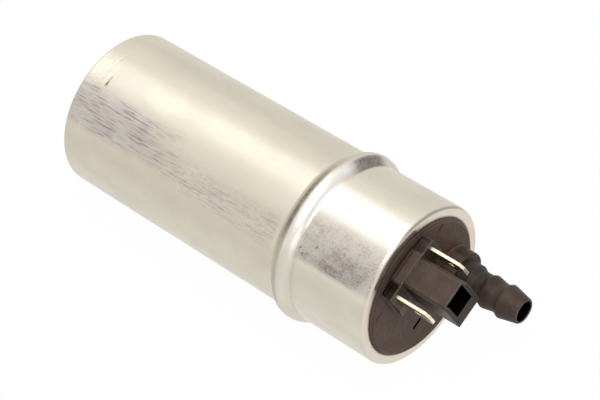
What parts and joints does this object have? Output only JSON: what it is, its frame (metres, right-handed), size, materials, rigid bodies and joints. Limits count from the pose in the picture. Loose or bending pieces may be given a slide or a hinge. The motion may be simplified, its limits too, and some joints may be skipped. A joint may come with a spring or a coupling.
{
  "type": "electric fuel pump",
  "caption": "Cylindrical in-tank electric fuel pump: beaded metal casing, barbed hose tail and plug tower with blade terminals on one end, inlet stub on the other.",
  "frame": {"origin": "on the pump's axis, in the middle of the plain stretch of casing that the bracket clamps", "axes": "+X along the pump's axis towards the outlet end, +Z towards the plug tower, +Y towards the hose tail's side"},
  "size_m": [0.1377, 0.0464, 0.0464],
  "materials": {
    "casing_aluminium": "satin drawn aluminium with fine lengthwise scratches",
    "cover_plastic": "matt dark grey-brown moulded plastic",
    "inlet_plastic": "matt black moulded plastic",
    "terminal_brass": "bright tinned brass",
    "seal_rubber": "fuel-proof rubber",
    "valve_brass": "turned brass",
    "valve_plastic": "natural acetal",
    "ball_steel": "ground steel ball",
    "spring_steel": "spring wire",
    "holder_plastic": "glass-filled black plastic",
    "carbon": "pressed carbon",
    "copper_braid": "bare copper braid",
    "ferrite": "ground ferrite",
    "copper_wire": "enamelled copper wire",
    "bronze": "oil-filled sintered bronze",
    "steel": "ground steel",
    "plated_steel": "zinc plated steel",
    "laminations": "stacked steel sheet",
    "insulation": "green insulation",
    "commutator_copper": "turned copper",
    "hub_resin": "moulded resin",
    "port_aluminium": "machined die casting",
    "sintered_steel": "sintered steel"
  },
  "bodies": {
    "pump_body": {"casing": "casing_aluminium", "outlet_cover": "cover_plastic", "terminal_left": "terminal_brass", "terminal_right": "terminal_brass", "cover_seal": "seal_rubber", "check_valve_seat": "valve_brass", "check_valve_spring": "spring_steel", "relief_valve_seat": "valve_brass", "relief_valve_spring": "spring_steel", "brush_holder": "holder_plastic", "brush_spring_upper": "spring_steel", "brush_lead_upper": "copper_braid", "brush_spring_lower": "spring_steel", "brush_lead_lower": "copper_braid", "choke_core_left": "ferrite", "choke_coil_left": "copper_wire", "choke_core_right": "ferrite", "choke_coil_right": "copper_wire", "front_bush": "bronze", "rear_bush": "bronze", "thrust_button": "steel", "flux_ring": "plated_steel", "magnet_upper": "ferrite", "magnet_lower": "ferrite", "magnet_clip_left": "spring_steel", "magnet_clip_right": "spring_steel", "port_plate": "port_aluminium", "pump_ring": "sintered_steel", "pump_dowels": "steel", "inlet_cover": "inlet_plastic"},
    "armature": {"armature_shaft": "steel", "armature_core": "laminations", "core_insulator_rear": "insulation", "core_insulator_front": "insulation", "armature_winding": "copper_wire", "commutator_hub": "hub_resin", "commutator": "commutator_copper", "rear_washer": "steel", "front_washer": "steel", "inner_rotor": "sintered_steel"},
    "outer_rotor": {"outer_rotor": "sintered_steel"},
    "check_valve": {"check_valve_poppet": "valve_plastic", "check_valve_seal": "seal_rubber"},
    "relief_valve": {"relief_valve_ball": "ball_steel"},
    "brush_upper": {"brush_upper": "carbon"},
    "brush_lower": {"brush_lower": "carbon"}
  },
  "joints": [
    {"name": "armature_spin", "type": "hinge", "parent": "pump_body", "child": "armature", "pos_m": [0, 0, 0], "axis": [1, 0, 0], "continuous": true},
    {"name": "outer_rotor_spin", "type": "hinge", "parent": "pump_body", "child": "outer_rotor", "pos_m": [-0.0268, -0.0011, 0], "axis": [1, 0, 0], "continuous": true},
    {"name": "check_valve_lift", "type": "slide", "parent": "pump_body", "child": "check_valve", "axis": [1, 0, 0], "range_m": [0, 0.002], "stiffness_N_per_m": 20, "springref_m": -0.0003, "deforming": ["check_valve_spring"]},
    {"name": "relief_valve_lift", "type": "slide", "parent": "pump_body", "child": "relief_valve", "axis": [1, 0, 0], "range_m": [0, 0.0008], "stiffness_N_per_m": 20, "springref_m": -0.0003, "deforming": ["relief_valve_spring"]},
    {"name": "brush_upper_slide", "type": "slide", "parent": "pump_body", "child": "brush_upper", "axis": [1, 0, 0], "range_m": [0, 0.003], "stiffness_N_per_m": 60, "springref_m": -0.0003, "deforming": ["brush_spring_upper", "brush_lead_upper"]},
    {"name": "brush_lower_slide", "type": "slide", "parent": "pump_body", "child": "brush_lower", "axis": [1, 0, 0], "range_m": [0, 0.003], "stiffness_N_per_m": 60, "springref_m": -0.0003, "deforming": ["brush_spring_lower", "brush_lead_lower"]}
  ],
  "couplings": [
    {"joint": "outer_rotor_spin", "follows": "armature_spin", "ratio": 0.85714}
  ]
}
